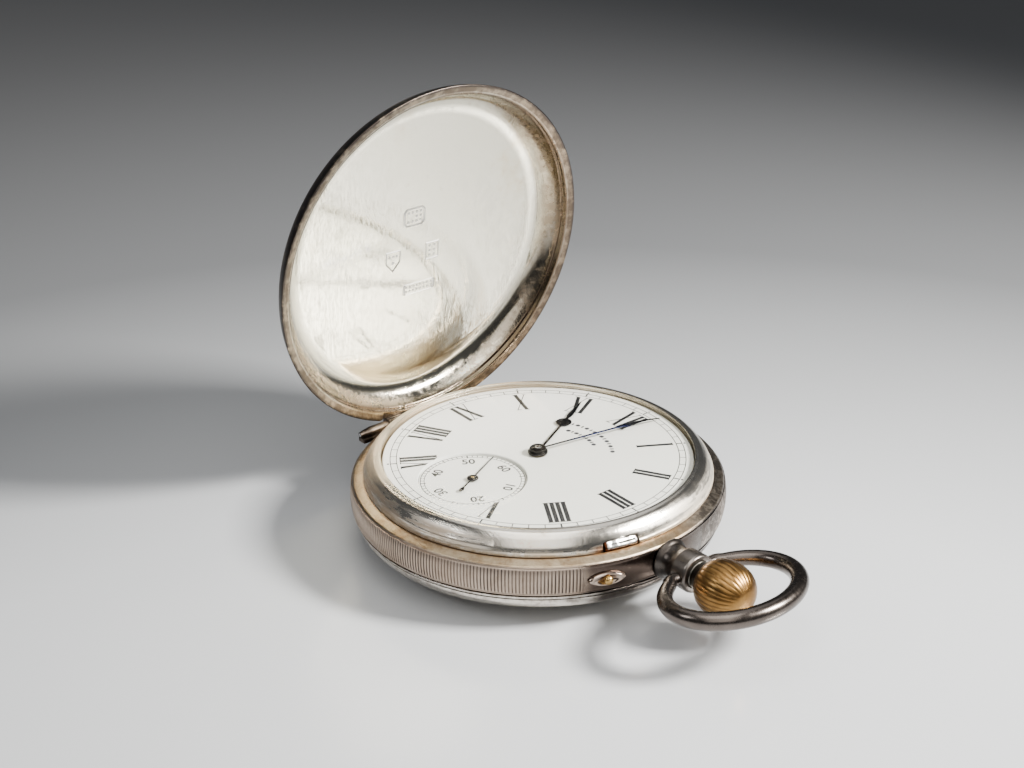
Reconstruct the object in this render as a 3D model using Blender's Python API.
"""Silver full-hunter pocket watch, pin-set, crown-wound, lying on its back with the front cover open.

Frame: the origin is the centre of the back where it rests, +Z runs up through the dial along the
centre arbor, +X points to the pendant and +Y to the dial's twelve.  Dimensions are millimetres;
every mesh is written in metres.
"""

import math

import bmesh
import bpy
from mathutils import Matrix, Vector

MM = 0.001
FULL_TURN = 2 * math.pi

# ---- driving dimensions -----------------------------------------------------------------------
CASE_R = 25.5            # case ledge and back rim
BAND_R = 25.95           # middle of the milled band
BAND_INNER_R = 22.7
LEDGE_Z = 9.5            # outer edge of the ledge under the front cover
BEZEL_SEAT_Z = 9.95
BACK_SEAM_Z = 5.24
STEM_Z = 7.35            # height of the winding stem, the pendant and the pusher
STEM_R = 0.7

COVER_HINGE = (-25.03, 9.37)     # x, z of the front cover's pin
BACK_HINGE = (-25.1, 5.2)
CUVETTE_HINGE = (-23.45, 4.6)
COVER_OPEN_DEG = 82.1            # the fly spring holds the front cover here
KNUCKLE_R = 0.75
PIN_R = 0.28
PIN_BORE_R = 0.34
FRONT_HINGE_HALF = 12.5
BACK_HINGE_HALF = 9.5
CUVETTE_HINGE_HALF = 3.6

DIAL_R = 21.35
DIAL_BOTTOM_Z = 11.3
DIAL_TOP_Z = 12.09
DIAL_TURN_DEG = -1.7             # the dial sits slightly turned in the case
SECONDS_OFFSET = 11.155          # centre arbor to fourth arbor
SECONDS_DIAL_R = 7.2

MAIN_PLATE_R = 22.3
MAIN_PLATE_Z = (8.1, 9.3)
TOP_PLATE_R = 21.0
TOP_PLATE_Z = (4.2, 5.2)

PUSHER_TURN_DEG = -20.9          # direction of the pin-set pusher round the band
CATCH_SPAN_DEG = (-17.3, -9.2)
BOW_PIVOT_X = 30.0
BOW_RISE_DEG = 6.5
BOW_STEPS = 11                   # straight pieces on each side of the bow

RUN_GAP = 0.06                   # running clearance of pivots and bores

FACETS_CASE = 36
FACETS_RING = 30
FACETS_SMALL = 16
FACETS_PIVOT = 12
FACETS_HINGE = 8

MATERIALS = {
    "silver": ((0.78, 0.77, 0.74), 0.25, 1.0),
    "tarnished_silver": ((0.30, 0.28, 0.28), 0.35, 1.0),
    "polished_silver": ((0.86, 0.85, 0.82), 0.12, 1.0),
    "gilt_brass": ((0.62, 0.42, 0.17), 0.30, 1.0),
    "gilt_plate": ((0.75, 0.60, 0.32), 0.35, 1.0),
    "brass": ((0.72, 0.55, 0.25), 0.30, 1.0),
    "steel": ((0.55, 0.56, 0.58), 0.25, 1.0),
    "blued_steel": ((0.05, 0.07, 0.18), 0.25, 1.0),
    "dark_steel": ((0.06, 0.06, 0.07), 0.35, 1.0),
    "enamel": ((0.90, 0.90, 0.87), 0.15, 0.0),
    "glass": ((0.95, 0.97, 0.97), 0.02, 0.0),
    "ruby": ((0.45, 0.05, 0.08), 0.10, 0.0),
}


def fourth_arbor():
    """x, y of the seconds hand: below the centre, turned with the dial."""
    turn = math.radians(DIAL_TURN_DEG)
    return (math.sin(turn) * SECONDS_OFFSET, -math.cos(turn) * SECONDS_OFFSET)


def polar(radius, degrees, centre=(0, 0)):
    angle = math.radians(degrees)
    return (centre[0] + radius * math.cos(angle), centre[1] + radius * math.sin(angle))


def meeting_point(first, first_reach, second, second_reach, side):
    """The point that lies at given distances from two others; side picks which of the two."""
    dx, dy = second[0] - first[0], second[1] - first[1]
    span = math.hypot(dx, dy)
    along = (first_reach**2 - second_reach**2 + span**2) / (2 * span)
    across = side * math.sqrt(first_reach**2 - along**2)
    ux, uy = dx / span, dy / span
    return (first[0] + ux * along - uy * across, first[1] + uy * along + ux * across)


# ---- the train's plan ---------------------------------------------------------------------------
CENTRE = (0.0, 0.0)
FOURTH = fourth_arbor()
BARREL = polar(9.8, 50)
THIRD = meeting_point(CENTRE, 7.3, FOURTH, 5.7, 1)
ESCAPE = polar(5.2, 195, FOURTH)
PALLET = polar(4.4, 120, ESCAPE)
BALANCE = (-12.4, -3.0)
COCK_FOOT = polar(8.8, 135, BALANCE)
CROWN_WHEEL = (14.2, 0.0)
RATCHET_TIP_R = 4.6
CROWN_WHEEL_TIP_R = 3.6
IDLER_TIP_R = 1.8
MINUTE_WHEEL = polar(4.4, -25)
MINUTE_WHEEL_TIP_R = 3.3
WINDING_IDLER = meeting_point(
    CROWN_WHEEL, CROWN_WHEEL_TIP_R + IDLER_TIP_R + RUN_GAP, BARREL, RATCHET_TIP_R + IDLER_TIP_R + RUN_GAP,
    -1
)
ROCK_DEG = 5.0                   # the rocking bar's turn when the pusher is pressed
SETTING_IDLER_MESHED = meeting_point(
    CROWN_WHEEL,
    CROWN_WHEEL_TIP_R + IDLER_TIP_R + RUN_GAP,
    MINUTE_WHEEL,
    MINUTE_WHEEL_TIP_R + IDLER_TIP_R + RUN_GAP,
    1,
)


def turned_about(point, centre, degrees):
    angle = math.radians(degrees)
    dx, dy = point[0] - centre[0], point[1] - centre[1]
    return (
        centre[0] + dx * math.cos(angle) - dy * math.sin(angle),
        centre[1] + dx * math.sin(angle) + dy * math.cos(angle),
    )


SETTING_IDLER = turned_about(SETTING_IDLER_MESHED, CROWN_WHEEL, ROCK_DEG)


# ---- shapes -------------------------------------------------------------------------------------
def turned(profile, facets=FACETS_CASE, place=(0, 0, 0), along="Z"):
    """A turned solid from (radius, height) points, closed on itself or running from axis to axis."""
    bm = bmesh.new()
    points = [bm.verts.new((radius, 0, height)) for radius, height in profile]
    ends_on_axis = profile[0][0] == 0 and profile[-1][0] == 0
    followers = points[1:] if ends_on_axis else points[1:] + points[:1]
    edges = [bm.edges.new(pair) for pair in zip(points, followers)]
    bmesh.ops.spin(
        bm, geom=points + edges, cent=(0, 0, 0), axis=(0, 0, 1), angle=FULL_TURN, steps=facets,
        use_merge=True
    )
    bmesh.ops.remove_doubles(bm, verts=bm.verts[:], dist=1e-4)
    turn = {
        "Z": Matrix.Identity(4), "X": Matrix.Rotation(math.pi / 2, 4, "Y"),
        "Y": Matrix.Rotation(-math.pi / 2, 4, "X"),
    }
    bmesh.ops.transform(bm, matrix=Matrix.Translation(place) @ turn[along], verts=bm.verts[:])
    bmesh.ops.recalc_face_normals(bm, faces=bm.faces[:])
    return bm


def rod(radius, low, high, facets=FACETS_SMALL, place=(0, 0, 0), along="Z"):
    return turned([(0, low), (radius, low), (radius, high), (0, high)], facets, place, along)


def tube(outer, inner, low, high, facets=FACETS_SMALL, place=(0, 0, 0), along="Z"):
    return turned([(inner, low), (outer, low), (outer, high), (inner, high)], facets, place, along)


def prism(outline, low, high, holes=()):
    """An outline in the dial's plane, with holes, raised from one height to another."""
    bm = bmesh.new()
    for loop in (outline, *holes):
        points = [bm.verts.new((x, y, low)) for x, y in loop]
        for pair in zip(points, points[1:] + points[:1]):
            bm.edges.new(pair)
    bmesh.ops.triangle_fill(bm, use_beauty=True, use_dissolve=False, edges=bm.edges[:])
    raised = bmesh.ops.extrude_face_region(bm, geom=bm.faces[:])
    tops = [item for item in raised["geom"] if isinstance(item, bmesh.types.BMVert)]
    bmesh.ops.translate(bm, vec=(0, 0, high - low), verts=tops)
    bmesh.ops.recalc_face_normals(bm, faces=bm.faces[:])
    return bm


def block(low, high):
    """A box between two corners."""
    bm = bmesh.new()
    bmesh.ops.create_cube(bm, size=1)
    size = [b - a for a, b in zip(low, high)]
    middle = [(a + b) / 2 for a, b in zip(low, high)]
    bmesh.ops.transform(
        bm, matrix=Matrix.Translation(middle) @ Matrix.Diagonal((*size, 1)), verts=bm.verts[:]
    )
    return bm


def moved(bm, matrix):
    bmesh.ops.transform(bm, matrix=matrix, verts=bm.verts[:])
    return bm


def arc(radius, start, end, steps, centre=(0, 0)):
    return [polar(radius, start + (end - start) * i / steps, centre) for i in range(steps + 1)]


def circle(radius, facets=FACETS_SMALL, centre=(0, 0)):
    return [polar(radius, 360 * i / facets, centre) for i in range(facets)]


def sector(inner, outer, start, end, low, high, steps=8):
    """A curved bar that follows the case round."""
    return prism(arc(outer, start, end, steps) + arc(inner, end, start, steps), low, high)


def toothed(tip, root, teeth, centre=(0, 0), turn=0.0):
    """Pointed teeth; turn puts a tip at that angle in degrees."""
    points = []
    for i in range(teeth):
        angle = turn + 360 * i / teeth
        points.append(polar(tip, angle, centre))
        points.append(polar(root, angle + 180 / teeth, centre))
    return points


def ratchet_outline(tip, root, teeth, centre, lean=0.15):
    """Saw teeth: a steep face and a long back."""
    points = []
    for i in range(teeth):
        angle = 360 * i / teeth
        points.append(polar(tip, angle, centre))
        points.append(polar(root, angle + 360 / teeth * lean, centre))
    return points


def spoke_windows(inner, outer, count, centre, spoke=1.0, steps=3):
    """The openings between a wheel's spokes."""
    windows = []
    for i in range(count):
        start, end = 360 * i / count, 360 * (i + 1) / count
        out_trim = math.degrees(spoke / 2 / outer)
        in_trim = math.degrees(spoke / 2 / inner)
        windows.append(
            arc(outer, start + out_trim, end - out_trim, steps, centre)
            + arc(inner, end - in_trim, start + in_trim, max(1, steps // 2), centre)
        )
    return windows


def capsule(first, first_r, second, second_r, steps=6):
    """The outline of a bar with round ends of two sizes."""
    dx, dy = second[0] - first[0], second[1] - first[1]
    heading = math.degrees(math.atan2(dy, dx))
    lean = math.degrees(math.acos((first_r - second_r) / math.hypot(dx, dy)))
    return arc(second_r, heading - lean, heading + lean, steps, second) + arc(
        first_r, heading + lean, heading + 360 - lean, steps, first
    )


def spiral_strip(inner, outer, turns, width, centre, per_turn, start=0.0):
    """A flat spiral spring's outline: out along one side and back along the other."""
    count = int(turns * per_turn)
    sides = ([], [])
    for i in range(count + 1):
        radius = inner + (outer - inner) * i / count
        angle = start + 360 * i / per_turn
        sides[0].append(polar(radius + width / 2, angle, centre))
        sides[1].append(polar(radius - width / 2, angle, centre))
    return sides[0] + sides[1][::-1]


# ---- objects ------------------------------------------------------------------------------------
def surface(name):
    found = bpy.data.materials.get(name)
    if found:
        return found
    colour, roughness, metallic = MATERIALS[name]
    made = bpy.data.materials.new(name)
    made.use_nodes = True
    shader = made.node_tree.nodes["Principled BSDF"]
    shader.inputs["Base Color"].default_value = (*colour, 1)
    shader.inputs["Roughness"].default_value = roughness
    shader.inputs["Metallic"].default_value = metallic
    return made


def object_of(name, bm, origin=(0, 0, 0)):
    """Puts a mesh in the scene with its origin at the given point."""
    bmesh.ops.translate(bm, vec=-Vector(origin), verts=bm.verts[:])
    bmesh.ops.scale(bm, vec=(MM, MM, MM), verts=bm.verts[:])
    mesh = bpy.data.meshes.new(name)
    bm.to_mesh(mesh)
    bm.free()
    mesh.shade_smooth()
    mesh.set_sharp_from_angle(angle=math.radians(35))
    thing = bpy.data.objects.new(name, mesh)
    thing.location = Vector(origin) * MM
    bpy.context.scene.collection.objects.link(thing)
    return thing


def part(name, material, shape, origin=(0, 0, 0), joined=(), cuts=(), joined_after=()):
    """One node: a shape, what is joined to it, what is cut from it, and what is joined after the cuts."""
    thing = object_of(name, shape, origin)
    thing.data.materials.append(surface(material))
    steps = [("UNION", bm) for bm in joined] + [("DIFFERENCE", bm) for bm in cuts]
    steps += [("UNION", bm) for bm in joined_after]
    for number, (operation, bm) in enumerate(steps, 1):
        helper = object_of(f"{name}_tool_{number}", bm)
        helper.hide_render = True
        helper.hide_viewport = True
        helper.display_type = "WIRE"
        modifier = thing.modifiers.new(f"{operation.lower()}_{number}", "BOOLEAN")
        modifier.operation = operation
        modifier.solver = "EXACT"
        modifier.object = helper
    return thing


def knuckles(axis, radius, spans, facets=FACETS_HINGE):
    """Hinge tubes along Y at x, z, bored for their pin."""
    return [
        tube(radius, PIN_BORE_R, start, end, facets, (axis[0], 0, axis[1]), "Y") for start, end in spans
    ]


def hinge_pin(name, axis, half_length):
    shape = rod(PIN_R, -half_length, half_length, FACETS_HINGE, (axis[0], 0, axis[1]), "Y")
    part(name, "steel", shape)


def arbor(centre, steps, facets=FACETS_PIVOT):
    """A stepped arbor from (radius, bottom, top) pieces, lowest first."""
    profile = [(0, steps[0][1])]
    for radius, low, high in steps:
        profile += [(radius, low), (radius, high)]
    profile.append((0, steps[-1][2]))
    return turned(profile, facets, (*centre, 0))


# ---- case ---------------------------------------------------------------------------------------
CASE_FRONT_SPANS = ((-12.5, -7.6), (-2.4, 2.4), (7.6, 12.5))
COVER_SPANS = ((-7.5, -2.5), (2.5, 7.5))
CASE_BACK_SPANS = ((-9.5, -5.8), (-1.8, 1.8), (5.8, 9.5))
BACK_SPANS = ((-5.7, -1.9), (1.9, 5.7))
CASE_CUVETTE_SPANS = ((-3.6, -1.8), (1.8, 3.6))
CUVETTE_SPANS = ((-1.7, 1.7),)


def radial_frame(degrees, height):
    """Turns a shape built along +X at z = 0 to a direction round the case."""
    return Matrix.Translation((0, 0, height)) @ Matrix.Rotation(math.radians(degrees), 4, "Z")


def guard_outline(grow=0.0):
    """A pointed oval, long round the band and low across it."""
    half_length, half_height = 2.5 + grow, 0.95 + grow
    side = [
        (half_length * math.cos(math.radians(a)), half_height * math.sin(math.radians(a)) ** 1.3)
        for a in range(0, 181, 20)
    ]
    return side + [(x, -y) for x, y in side[-2:0:-1]]


def guard_prism(inner, outer, grow=0.0):
    """The guard's oval raised outwards from the band."""
    stand_up = Matrix(((0, 0, 1, 0), (1, 0, 0, 0), (0, 1, 0, 0), (0, 0, 0, 1)))
    return moved(prism(guard_outline(grow), inner, outer), radial_frame(PUSHER_TURN_DEG, STEM_Z) @ stand_up)


def make_case_band():
    profile = [
        (BAND_INNER_R, BEZEL_SEAT_Z), (24.2, BEZEL_SEAT_Z), (CASE_R, LEDGE_Z), (25.8, 8.9), (BAND_R, 7.4),
        (25.8, 5.9), (CASE_R, BACK_SEAM_Z), (BAND_INNER_R, BACK_SEAM_Z), (BAND_INNER_R, 7.0), (21.9, 7.5),
        (21.9, 8.03), (BAND_INNER_R, 8.03),
    ]
    pendant_hole = [
        (0, 20), (1.85, 20), (1.85, 24.93), (2.12, 24.93), (2.12, 25.68), (2.9, 25.68), (2.9, 28), (0, 28)
    ]
    notches = [
        block((-27, -12.6, 8.55), (-24.18, 12.6, 10.5)),
        block((-27, -9.6, 4.0), (-24.3, 9.6, 6.2)),
        turned(pendant_hole, 16, (0, 0, STEM_Z), "X"),
        sector(21.5, 24.6, -25, -2.5, 6.0, 8.9),
        sector(22.5, 24.15, -19, -7.5, 8.6, 10.5),
        moved(rod(0.75, 20, 28, FACETS_SMALL, (0, 0, 0), "X"), radial_frame(PUSHER_TURN_DEG, STEM_Z)),
        guard_prism(25.25, 28, 0.08),
        sector(22.5, 23.7, 146, 176, 6.6, 8.4),
    ]
    webs = [
        block((-25.4, low + 0.03, 8.3), (-21.9 if abs(low + high) > 5 else -24.0, high - 0.03, 8.95))
        for low, high in CASE_FRONT_SPANS
    ]
    webs += [block((-25.4, low + 0.03, 5.6), (-23.6, high - 0.03, 6.4)) for low, high in CASE_BACK_SPANS]
    webs += [
        block((-23.7, low + 0.03, 4.97), (-23.1, high - 0.03, 5.4)) for low, high in CASE_CUVETTE_SPANS
    ]
    tubes = knuckles(COVER_HINGE, KNUCKLE_R, CASE_FRONT_SPANS)
    tubes += knuckles(BACK_HINGE, 0.7, CASE_BACK_SPANS)
    tubes += knuckles(CUVETTE_HINGE, 0.45, CASE_CUVETTE_SPANS)
    part("case_band", "silver", turned(profile), cuts=notches, joined_after=webs + tubes)


def make_front_cover():
    """Drawn closed over the dial, then swung open about its pin."""
    profile = [
        (0, 14.15), (20.9, 14.02), (22.2, 13.55), (23.4, 12.6), (24.1, 11.1), (24.5, 10.9), (24.5, 10.35),
        (24.2, 10.15), (25.75, 9.62), (25.4, 10.7), (24.5, 12.3), (23.2, 13.55), (21.4, 14.3), (16, 14.62),
        (0, 14.78),
    ]
    x, z = COVER_HINGE
    swing = Matrix.Translation((x, 0, z)) @ Matrix.Rotation(-math.radians(COVER_OPEN_DEG), 4, "Y")
    swing = swing @ Matrix.Translation((-x, 0, -z))
    cuts = [moved(block((-27, -12.6, 9.0), (-24.15, 12.6, 10.45)), swing)]
    hinge = [
        moved(block((-25.4, low + 0.03, 9.75), (-24.23, high - 0.03, 10.7)), swing)
        for low, high in COVER_SPANS
    ]
    hinge += knuckles(COVER_HINGE, KNUCKLE_R, COVER_SPANS)
    part("front_cover", "silver", moved(turned(profile), swing), (x, 0, z), cuts=cuts, joined_after=hinge)


def make_back_cover():
    profile = [
        (0, 0), (7, 0), (15, 0.5), (20.5, 1.25), (23, 2.05), (24.6, 3.1), (25.3, 4.2),
        (CASE_R, 5.16), (24.4, 5.16), (24.4, 4.2), (23.4, 2.9), (20.3, 1.8), (14, 0.95), (0, 0.6),
    ]
    cuts = [block((-27, -9.6, 4.35), (-24.2, 9.6, 5.4))]
    hinge = [block((-25.3, low + 0.03, 3.95), (-24.3, high - 0.03, 4.8)) for low, high in BACK_SPANS]
    hinge += knuckles(BACK_HINGE, 0.7, BACK_SPANS)
    origin = (BACK_HINGE[0], 0, BACK_HINGE[1])
    part("back_cover", "silver", turned(profile), origin, cuts=cuts, joined_after=hinge)


def make_cuvette():
    profile = [
        (0, 1.15), (14, 1.35), (20.0, 2.15), (22.5, 3.1), (23.7, 4.5), (23.7, 5.1),
        (23.2, 5.1), (23.2, 4.6), (22.1, 3.5), (19.8, 2.6), (13.8, 1.8), (0, 1.6),
    ]
    cuts = [block((-25, -3.8, 4.05), (-22.8, 3.8, 5.3))]
    hinge = [block((-23.45, low + 0.03, 3.7), (-22.7, high - 0.03, 4.23)) for low, high in CUVETTE_SPANS]
    hinge += knuckles(CUVETTE_HINGE, 0.45, CUVETTE_SPANS)
    origin = (CUVETTE_HINGE[0], 0, CUVETTE_HINGE[1])
    part("cuvette", "silver", turned(profile, FACETS_RING), origin, cuts=cuts, joined_after=hinge)


def make_bezel_and_crystal():
    profile = [
        (21.5, 12.79), (22.2, 12.72), (23.1, 12.15), (23.85, 11.0), (24.1, 10.05), (22.3, 10.05),
        (21.7, 10.7), (21.7, 12.2), (21.95, 12.25), (21.95, 12.58), (21.5, 12.65),
    ]
    notch = [sector(22.1, 25.5, -19, -7.5, 9.5, 11.3)]
    lip = [sector(23.2, 24.12, -88, -60, 10.1, 10.75)]
    part("glass_bezel", "polished_silver", turned(profile), joined=lip, cuts=notch)
    glass = [
        (0, 13.42), (10, 13.3), (19, 12.87), (21.2, 12.32), (21.85, 12.32),
        (21.85, 12.5), (21.2, 12.62), (20.5, 12.95), (16, 13.45), (9, 13.78), (0, 13.88),
    ]
    part("crystal", "glass", turned(glass, FACETS_RING))


def make_pendant():
    profile = [
        (2.02, 24.98), (2.02, 25.75), (2.75, 25.8), (2.65, 26.3), (2.15, 26.9), (2.0, 27.8), (2.45, 28.5),
        (2.65, 29.2), (2.65, 30.8), (2.45, 31.1), (1.5, 31.1), (1.5, 24.98),
    ]
    sockets = [rod(0.72, 1.9, 4, FACETS_PIVOT, (BOW_PIVOT_X, 0, STEM_Z), "Y")]
    sockets.append(rod(0.72, -4, -1.9, FACETS_PIVOT, (BOW_PIVOT_X, 0, STEM_Z), "Y"))
    part("pendant", "tarnished_silver", turned(profile, 16, (0, 0, STEM_Z), "X"), cuts=sockets)
    sleeve = [(0.85, 25.1), (1.42, 25.1), (1.42, 31.17), (1.95, 31.17), (1.75, 31.35), (0.85, 31.35)]
    part("pendant_sleeve", "steel", turned(sleeve, FACETS_SMALL, (0, 0, STEM_Z), "X"))


def make_bow():
    """An oval ring of round wire, thinner at its turned-in ends, whose pins swing in the pendant."""
    half_length, half_width, centre = 7.25, 9.2, 6.9
    wire = []
    for i in range(-BOW_STEPS, BOW_STEPS + 1):
        part_way = i / BOW_STEPS
        angle = math.radians(148) * part_way
        along, across = centre + half_length * math.cos(angle), half_width * math.sin(angle)
        wire.append((along, across, 1.2 - 0.28 * abs(part_way) ** 3))
    ends = [(0.16, 3.95, 0.9), (0.0, 3.4, 0.88), (0.0, 2.8, 0.86), (0.0, 2.72, 0.62), (0.0, 2.0, 0.62)]
    wire += ends
    wire = [(along, -across, radius) for along, across, radius in ends[::-1]] + wire
    rise = math.radians(BOW_RISE_DEG)
    curve = bpy.data.curves.new("bow", "CURVE")
    curve.dimensions = "3D"
    curve.bevel_depth = MM
    curve.bevel_resolution = 2
    curve.use_fill_caps = True
    spline = curve.splines.new("POLY")
    spline.points.add(len(wire) - 1)
    for point, (along, across, radius) in zip(spline.points, wire):
        point.co = (along * math.cos(rise) * MM, across * MM, along * math.sin(rise) * MM, 1)
        point.radius = radius
    bow = bpy.data.objects.new("bow", curve)
    bow.location = Vector((BOW_PIVOT_X, 0, STEM_Z)) * MM
    curve.materials.append(surface("tarnished_silver"))
    bpy.context.scene.collection.objects.link(bow)


def make_winding_parts():
    ball_with_blind_bore = [
        (0, 36.8), (0.76, 36.8), (0.76, 32.15), (1.7, 32.15), (2.5, 32.6), (3.2, 33.4), (3.6, 34.4),
        (3.75, 35.5),
        (3.7, 36.6), (3.3, 37.9), (2.5, 38.9), (1.5, 39.4), (0, 39.55),
    ]
    part("crown", "gilt_brass", turned(ball_with_blind_bore, 20, (0, 0, STEM_Z), "X"), (36, 0, STEM_Z))
    stem = rod(STEM_R, 20.3, 36.7, FACETS_PIVOT, (0, 0, STEM_Z), "X")
    square = block((13.6, -0.5, STEM_Z - 0.5), (20.5, 0.5, STEM_Z + 0.5))
    pivot = rod(0.35, 12.6, 13.8, FACETS_PIVOT, (0, 0, STEM_Z), "X")
    part("winding_stem", "steel", stem, (25, 0, STEM_Z), joined=[square, pivot])
    part(
        "push_collar", "steel", tube(1.75, 0.8, 24.05, 24.6, FACETS_PIVOT, (0, 0, STEM_Z), "X"),
        (24.3, 0, STEM_Z),
    )


def make_catch():
    bar = block((22.9, -7.2, 6.4), (23.4, -1.25, 8.2))
    hook = sector(23.22, 23.85, *CATCH_SPAN_DEG, 8.0, 10.75, 4)
    part("lid_catch", "steel", bar, (23.3, -4.6, STEM_Z), joined=[hook])
    spring = sector(22.95, 23.3, 148, 174, 6.8, 7.6, 6)
    tip = sector(22.95, 23.3, 170, 174, 7.5, 8.3, 2)
    part("fly_spring", "steel", spring, joined=[tip])


def make_pusher():
    profile = [
        (0, 13.35), (0.42, 13.35), (0.42, 22.0), (0.55, 22.0), (0.55, 26.25), (0.62, 26.5), (0.55, 26.8),
        (0.3, 27.0), (0, 27.05),
    ]
    pin = moved(turned(profile, FACETS_PIVOT, (0, 0, 0), "X"), radial_frame(PUSHER_TURN_DEG, STEM_Z))
    part("pin_set_pusher", "gilt_brass", pin, (*polar(25.5, PUSHER_TURN_DEG), STEM_Z))
    hole = moved(rod(0.7, 24, 28, FACETS_SMALL, (0, 0, 0), "X"), radial_frame(PUSHER_TURN_DEG, STEM_Z))
    part("pusher_guard", "polished_silver", guard_prism(25.33, 26.35), cuts=[hole])


# ---- dial and hands -----------------------------------------------------------------------------
def make_dials():
    feet_at = [polar(18, degrees) for degrees in DIAL_FEET_DEG]
    outline = circle(DIAL_R, FACETS_RING)
    holes = [circle(1.15), circle(SECONDS_DIAL_R + 0.08, 32, FOURTH)]
    feet = [rod(0.35, 8.6, DIAL_BOTTOM_Z + 0.2, 8, (*point, 0)) for point in feet_at]
    part("dial", "enamel", prism(outline, DIAL_BOTTOM_Z, DIAL_TOP_Z, holes), joined=feet)
    small = prism(circle(SECONDS_DIAL_R, 32, FOURTH), 11.1, 11.75, [circle(0.4, 8, FOURTH)])
    part("seconds_dial", "enamel", small)


DIAL_FEET_DEG = (95, 200, 320)
BEND_SLOPE = 0.16


def hand(name, material, length_points, angle, low, high, hub, bore, centre=(0, 0), bent_from=None):
    """A flat hand: half-widths along its length, mirrored about its middle, and turned to its place.

    The hub's ring is joined to the blade, which bends towards the dial beyond bent_from.
    """
    right = [(along, -half) for along, half in length_points]
    left = [(along, half) for along, half in reversed(length_points) if half > 0]
    blade = prism(right + left, low, high)
    if bent_from:
        for vert in blade.verts:
            vert.co.z -= BEND_SLOPE * max(0.0, vert.co.x - bent_from)
    place = Matrix.Translation((*centre, 0)) @ Matrix.Rotation(math.radians(angle), 4, "Z")
    ring = tube(hub, bore, low, high, 20, (*centre, 0)) if bore else rod(hub, low, high, 20, (*centre, 0))
    bore_cut = [rod(bore, low - 1, high + 1, 20, (*centre, 0))] if bore else []
    part(name, material, ring, (*centre, low), joined=[moved(blade, place)], cuts=bore_cut)


def clock_angle(fraction_of_turn):
    """A place round the dial, clockwise from twelve, as degrees about +Z from +X."""
    return 90 + DIAL_TURN_DEG - 360 * fraction_of_turn


def spade(length, arm, lobe_at, lobe_r, tip_half, start):
    """Half-widths of a spade hand: a thin arm, a round lobe and a tapering point."""
    points = [(start, arm)]
    for degrees in (165, 135, 105, 75, 45, 20):
        angle = math.radians(degrees)
        points.append((lobe_at + lobe_r * math.cos(angle), max(arm, lobe_r * math.sin(angle))))
    points += [(lobe_at + lobe_r * 1.25, tip_half), (length - 0.4, 0.12), (length, 0.0)]
    return points


HOUR = 11 + 1.4 / 60
MINUTES = 1.4
SECONDS = 55.3


def make_hands():
    hour_blade = spade(17.0, 0.22, 9.9, 1.1, 0.3, 1.15)
    hand("hour_hand", "dark_steel", hour_blade, clock_angle(HOUR / 12), 12.3, 12.45, 1.4, 0.98)
    minute_blade = spade(20.2, 0.18, 14.6, 0.62, 0.22, 0.95)
    hand(
        "minute_hand", "blued_steel", minute_blade, clock_angle(MINUTES / 60), 12.78, 12.93, 1.2, 0.62,
        bent_from=17.2,
    )
    seconds_blade = [(-3.9, 0.0), (-3.3, 0.42), (-2.6, 0.12), (0, 0.12), (6.4, 0.06), (6.7, 0.0)]
    hand(
        "seconds_hand", "dark_steel", seconds_blade, clock_angle(SECONDS / 60), 12.0, 12.12, 0.85, 0.29,
        FOURTH,
    )


# ---- movement -----------------------------------------------------------------------------------
PILLARS = (polar(19, 20), polar(19, 118), polar(19.2, -100))
CASE_SCREWS_DEG = (60, 235)


def make_plates():
    low, high = MAIN_PLATE_Z
    tab_slot = [
        polar(radius, turn) for radius, turn in ((11.7, -24.5), (13.35, -24), (13.35, -17.5), (11.7, -17))
    ]
    holes = [
        circle(0.62, 12, CENTRE), circle(0.4, 8, FOURTH), circle(0.85, 12, BARREL), circle(0.3, 8, THIRD)
    ]
    holes += [circle(0.25, 8, point) for point in (ESCAPE, PALLET, BALANCE)]
    holes += [circle(0.46, 8, polar(18, degrees)) for degrees in DIAL_FEET_DEG]
    holes += [circle(0.5, 8, polar(21.2, degrees)) for degrees in CASE_SCREWS_DEG]
    holes += [[(16.6, -2.2), (19.0, -2.2), (19.0, 2.2), (16.6, 2.2)], tab_slot]
    posts = [rod(1.2, TOP_PLATE_Z[1] + 0.04, low + 0.2, 10, (*point, 0)) for point in PILLARS]
    part(
        "main_plate", "gilt_plate", prism(circle(MAIN_PLATE_R, FACETS_RING), low, high, holes), joined=posts
    )
    low, high = TOP_PLATE_Z
    outline = circle(TOP_PLATE_R, FACETS_RING)
    holes = [
        circle(0.4, 8, CENTRE), circle(0.3, 8, FOURTH), circle(1.05, 12, BARREL), circle(0.3, 8, THIRD)
    ]
    holes += [circle(0.25, 8, point) for point in (ESCAPE, PALLET)]
    holes += [circle(0.5, 8, point) for point in PILLARS]
    balance_space = rod(7.4, 3, 6, 32, (*BALANCE, 0))
    room = rod(2.0, 3, 6, FACETS_SMALL, (*COCK_FOOT, 0))
    part("top_plate", "gilt_plate", prism(outline, low, high, holes), cuts=[balance_space, room])


def screw(name, place, head_r, head, shank_r, shank_end):
    """A slotted screw: head is (low, high) in z, the slot is in the head's lower face."""
    low, high = head
    shape = turned(
        [(0, low), (head_r, low), (head_r, high), (shank_r, high), (shank_r, shank_end), (0, shank_end)],
        12, (*place, 0),
    )
    x, y = place
    slot = block((x - head_r - 1, y - 0.12, low - 0.5), (x + head_r + 1, y + 0.12, low + 0.18))
    part(name, "blued_steel", shape, cuts=[slot])


def make_screws():
    for number, point in enumerate(PILLARS, 1):
        screw(f"pillar_screw_{number}", point, 0.95, (3.65, 4.13), 0.42, 5.18)
    for number, degrees in enumerate(CASE_SCREWS_DEG, 1):
        screw(f"case_screw_{number}", polar(21.2, degrees), 1.1, (6.75, 7.15), 0.42, 9.2)
    screw("cock_screw", COCK_FOOT, 0.8, (2.72, 2.97), 0.4, 8.0)


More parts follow.
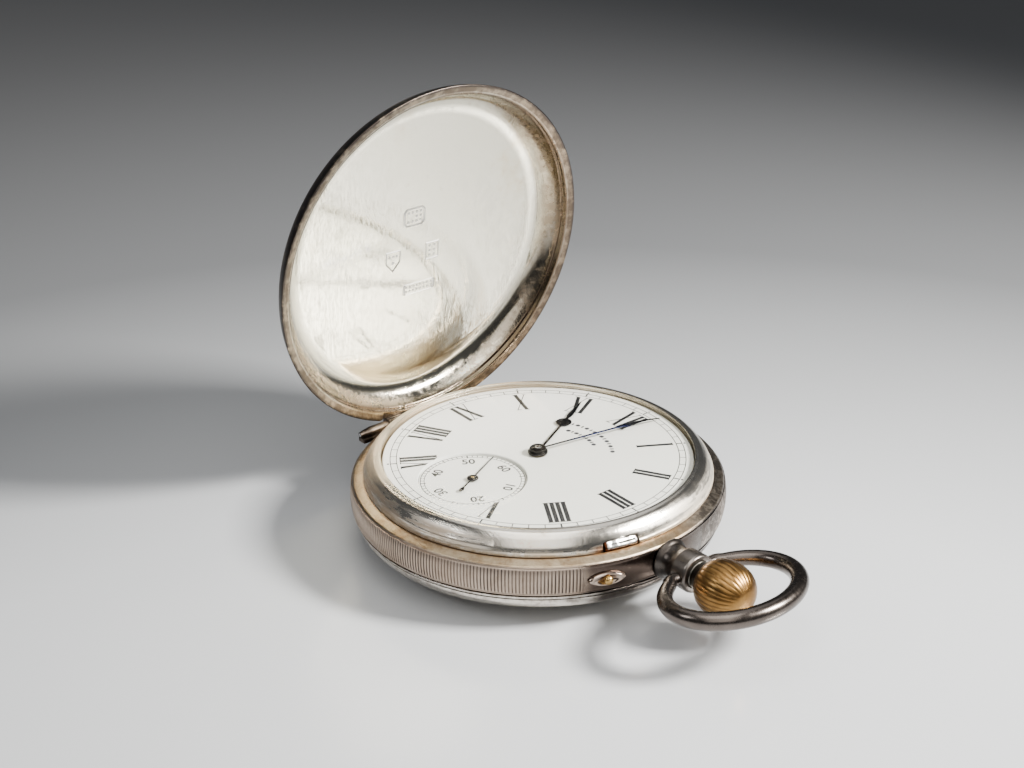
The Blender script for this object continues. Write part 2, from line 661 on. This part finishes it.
def make_barrel():
    x, y = BARREL
    drum = [(0.75, 7.2), (0.75, 7.95), (7.9, 7.95), (7.9, 6.0), (7.4, 6.0), (7.4, 7.2)]
    great = prism(toothed(8.62, 8.3, 60, BARREL), 7.5, 7.93, [circle(7.6, 20, BARREL)])
    part("mainspring_barrel", "brass", turned(drum, 24, (x, y, 0)), (x, y, 6), joined=[great])
    part("barrel_cover", "brass", tube(7.28, 0.85, 6.02, 6.25, 24, (x, y, 0)), (x, y, 6))
    winder = [(0.78, 3.3, 6.35), (1.35, 6.35, 7.1), (0.68, 7.1, 9.38)]
    square = block((x - 0.6, y - 0.6, 9.33), (x + 0.6, y + 0.6, 9.8))
    part("barrel_arbor", "steel", arbor(BARREL, winder), (x, y, 6), joined=[square])
    coil = spiral_strip(1.75, 7.05, 4, 0.25, BARREL, 12)
    part("mainspring", "blued_steel", prism(coil, 6.35, 7.1), (x, y, 6))
    holes = [[(x - 0.66, y - 0.66), (x + 0.66, y - 0.66), (x + 0.66, y + 0.66), (x - 0.66, y + 0.66)]]
    saw = ratchet_outline(RATCHET_TIP_R, RATCHET_TIP_R - 0.4, 36, BARREL)
    part("ratchet_wheel", "steel", prism(saw, 9.42, 9.78, holes), (x, y, 9.42))


def make_click():
    pivot = polar(6.3, 150, BARREL)
    beak = polar(4.85, 172, BARREL)
    part(
        "click", "steel", prism(capsule(pivot, 0.7, beak, 0.16), 9.42, 9.75, [circle(0.3, 8, pivot)]),
        (*pivot, 9.42),
    )
    stud = rod(0.24, 9.34, 9.9, 8, (*pivot, 0))
    part("click_stud", "steel", stud)
    bend = arc(6.2, 176, 214, 8, BARREL) + arc(6.0, 214, 176, 8, BARREL)
    foot = rod(0.5, 9.42, 9.7, 10, (*polar(6.1, 215, BARREL), 0))
    part("click_spring", "steel", prism(bend, 9.42, 9.66), joined=[foot])


def wheel(name, material, centre, tip, root, teeth, heights, spokes, steps, pinion=None, turn=0.0):
    """A spoked wheel on its arbor, with a pinion of (tip, root, leaves, low, high, turn)."""
    windows = spoke_windows(spokes[1], spokes[2], spokes[0], centre, spokes[3]) if spokes else []
    disc = prism(toothed(tip, root, teeth, centre, turn), *heights, windows)
    extra = [disc]
    if pinion:
        tip_p, root_p, leaves, low, high, turn_p = pinion
        extra.append(prism(toothed(tip_p, root_p, leaves, centre, turn_p), low, high))
    part(name, material, arbor(centre, steps), (*centre, heights[0]), joined=extra)


def heading(start, end):
    return math.degrees(math.atan2(end[1] - start[1], end[0] - start[0]))


def make_train():
    third_to_centre = heading(THIRD, CENTRE)
    wheel("centre_wheel", "brass", CENTRE, 6.45, 6.1, 48, (5.42, 5.7), (5, 1.6, 5.4, 1.0),
          [(0.34, 3.7, 5.3), (0.6, 5.3, 8.0), (0.5, 8.0, 13.0)],
          (1.14, 0.86, 10, 7.42, 7.95, heading(CENTRE, BARREL) + 18))
    wheel("third_wheel", "brass", THIRD, 5.0, 4.7, 45, (6.9, 7.12), (4, 1.3, 4.1, 0.8),
          [(0.24, 4.25, 5.26), (0.4, 5.26, 8.0), (0.24, 8.0, 9.2)],
          (0.8, 0.55, 6, 5.36, 5.9, third_to_centre + 30))
    wheel("fourth_wheel", "brass", FOURTH, 4.58, 4.3, 48, (5.95, 6.15), (4, 1.2, 3.75, 0.8),
          [(0.24, 4.25, 5.26), (0.36, 5.26, 8.0), (0.25, 8.0, 12.2)],
          (0.66, 0.45, 6, 6.85, 7.2, heading(FOURTH, THIRD) + 30))
    wheel("escape_wheel", "brass", ESCAPE, 3.25, 2.5, 15, (6.42, 6.62), (4, 0.8, 2.1, 0.5),
          [(0.2, 4.25, 5.26), (0.32, 5.26, 8.0), (0.2, 8.0, 9.2)],
          (0.58, 0.4, 6, 5.8, 6.3, heading(ESCAPE, FOURTH) + 30))


def make_pallet_fork():
    """A straight bar from the roller to the pallets, with two arms that reach round the escape wheel."""
    toward_balance = heading(PALLET, BALANCE)
    toward_escape = heading(PALLET, ESCAPE)
    horn = polar(4.9, toward_balance, PALLET)
    lever = prism(capsule(PALLET, 0.6, horn, 0.45), 6.42, 6.7)
    arms = [
        prism(capsule(PALLET, 0.5, polar(2.3, toward_escape + side * 62, PALLET), 0.3), 6.42, 6.7)
        for side in (-1, 1)
    ]
    mouth, end = polar(4.75, toward_balance, PALLET), polar(6.2, toward_balance, PALLET)
    notch = [prism(capsule(mouth, 0.2, end, 0.3), 6, 7)]
    staff = arbor(PALLET, [(0.18, 4.25, 5.26), (0.3, 5.26, 8.0), (0.18, 8.0, 9.2)])
    part("pallet_fork", "steel", staff, (*PALLET, 6.4), joined=[lever, *arms], cuts=notch)


def make_balance():
    rim = prism(circle(6.8, 30, BALANCE), 4.25, 4.75, spoke_windows(1.0, 5.9, 2, BALANCE, 0.9, 7))
    roller = rod(1.35, 6.0, 6.25, FACETS_PIVOT, (*BALANCE, 0))
    pin_at = polar(1.02, heading(BALANCE, PALLET), BALANCE)
    impulse = rod(0.16, 6.2, 6.36, 8, (*pin_at, 0))
    staff = arbor(BALANCE, [(0.18, 2.95, 3.7), (0.4, 3.7, 7.9), (0.18, 7.9, 9.2)])
    part("balance_wheel", "gilt_brass", staff, (*BALANCE, 4.5), joined=[rim, roller, impulse])
    coil = spiral_strip(0.75, 3.3, 4, 0.14, BALANCE, 10)
    part("hairspring", "blued_steel", prism(coil, 3.85, 4.02), (*BALANCE, 3.9))
    holes = [circle(0.3, 8, BALANCE), circle(0.5, 8, COCK_FOOT)]
    arm = prism(capsule(COCK_FOOT, 1.7, BALANCE, 1.3, 8), 3.0, 3.5, holes)
    foot = tube(1.65, 0.5, 3.45, 8.04, FACETS_PIVOT, (*COCK_FOOT, 0))
    part("balance_cock", "gilt_plate", arm, joined=[foot])
    ring = circle(1.5, 20, BALANCE)
    tail = capsule(polar(1.2, 15, BALANCE), 0.3, polar(4.2, 15, BALANCE), 0.12)
    index = prism(tail, 2.62, 2.9)
    body = prism(ring, 2.62, 2.9, [circle(0.85, FACETS_SMALL, BALANCE)])
    part("regulator", "steel", body, (*BALANCE, 2.75), joined=[index])
    part("endstone", "ruby", rod(0.75, 2.55, 2.85, FACETS_SMALL, (*BALANCE, 0)))


def make_motion_work():
    pipe = turned(
        [(0.53, 9.42), (0.72, 9.42), (0.72, 12.7), (0.58, 12.7), (0.58, 13.2), (0.53, 13.2)], FACETS_PIVOT
    )
    leaves = prism(
        toothed(1.06, 0.82, 10, CENTRE, heading(CENTRE, MINUTE_WHEEL) + 18), 9.42, 9.9,
        [circle(0.62, FACETS_PIVOT)],
    )
    part("cannon_pinion", "steel", pipe, joined=[leaves])
    pipe = tube(0.95, 0.8, 10.05, 12.5, FACETS_PIVOT)
    disc = prism(toothed(3.48, 3.2, 32, CENTRE, 0), 10.05, 10.3, [circle(0.87, FACETS_PIVOT)])
    part("hour_wheel", "brass", pipe, joined=[disc])
    x, y = MINUTE_WHEEL
    stud = tube(0.5, 0.3, 9.42, 10.4, FACETS_PIVOT, (x, y, 0))
    disc = prism(
        toothed(MINUTE_WHEEL_TIP_R, 3.02, 30, MINUTE_WHEEL, 0), 9.42, 9.68,
        [circle(0.4, FACETS_PIVOT, MINUTE_WHEEL)],
    )
    leaves = prism(
        toothed(0.86, 0.66, 8, MINUTE_WHEEL, 0), 9.6, 10.35, [circle(0.4, FACETS_PIVOT, MINUTE_WHEEL)]
    )
    part("minute_wheel", "brass", stud, (x, y, 9.42), joined=[disc, leaves])
    part("minute_wheel_stud", "steel", rod(0.24, 9.34, 10.45, 8, (x, y, 0)))


def make_keyless_work():
    pinion = prism(
        toothed(2.0, 1.7, 15, (0, 0), 6), 17.0, 18.5,
        [[(-0.56, -0.56), (0.56, -0.56), (0.56, 0.56), (-0.56, 0.56)]],
    )
    along_x = Matrix.Translation((0, 0, STEM_Z)) @ Matrix.Rotation(math.pi / 2, 4, "Y")
    part("winding_pinion", "steel", moved(pinion, along_x), (17.5, 0, STEM_Z))
    for name, centre, tip, teeth in (
        ("crown_wheel", CROWN_WHEEL, CROWN_WHEEL_TIP_R, 30),
        ("winding_idler", WINDING_IDLER, IDLER_TIP_R, 15),
        ("setting_idler", SETTING_IDLER, IDLER_TIP_R, 15),
    ):
        disc = prism(toothed(tip, tip - 0.3, teeth, centre), 9.42, 9.8)
        boss = rod(0.45, 9.7, 10.3, 10, (*centre, 0))
        part(name, "steel", disc, (*centre, 9.42), joined=[boss])
    arms = [capsule(CROWN_WHEEL, 1.5, WINDING_IDLER, 1.1), capsule(CROWN_WHEEL, 1.5, SETTING_IDLER, 1.1)]
    tab_at = polar(12.85, PUSHER_TURN_DEG)
    tail = capsule(CROWN_WHEEL, 1.2, tab_at, 0.6)
    bosses = [rod(0.5, 9, 11, 10, (*centre, 0)) for centre in (CROWN_WHEEL, WINDING_IDLER, SETTING_IDLER)]
    tab = moved(block((12.55, -0.6, 6.9), (13.15, 0.6, 10.0)), radial_frame(PUSHER_TURN_DEG, 0))
    joined = [prism(arms[1], 9.88, 10.12), prism(tail, 9.88, 10.12), tab]
    part(
        "rocking_bar", "steel", prism(arms[0], 9.88, 10.12), (*CROWN_WHEEL, 9.9), joined=joined, cuts=bosses
    )
    anchor, elbow, end = (18.4, 7.6), (14.6, 8.0), (13.2, 6.5)
    wire = prism(capsule(anchor, 0.7, elbow, 0.14), 9.88, 10.12, [circle(0.35, 8, anchor)])
    part("setting_spring", "steel", wire, joined=[prism(capsule(elbow, 0.14, end, 0.1), 9.88, 10.12)])


def main():
    for old in list(bpy.data.objects):
        bpy.data.objects.remove(old, do_unlink=True)
    make_case_band()
    make_front_cover()
    make_back_cover()
    make_cuvette()
    hinge_pin("front_hinge_pin", COVER_HINGE, FRONT_HINGE_HALF)
    hinge_pin("back_hinge_pin", BACK_HINGE, BACK_HINGE_HALF)
    hinge_pin("cuvette_hinge_pin", CUVETTE_HINGE, CUVETTE_HINGE_HALF)
    make_bezel_and_crystal()
    make_pendant()
    make_bow()
    make_winding_parts()
    make_catch()
    make_pusher()
    make_dials()
    make_hands()
    make_plates()
    make_screws()
    make_barrel()
    make_click()
    make_train()
    make_pallet_fork()
    make_balance()
    make_motion_work()
    make_keyless_work()


main()
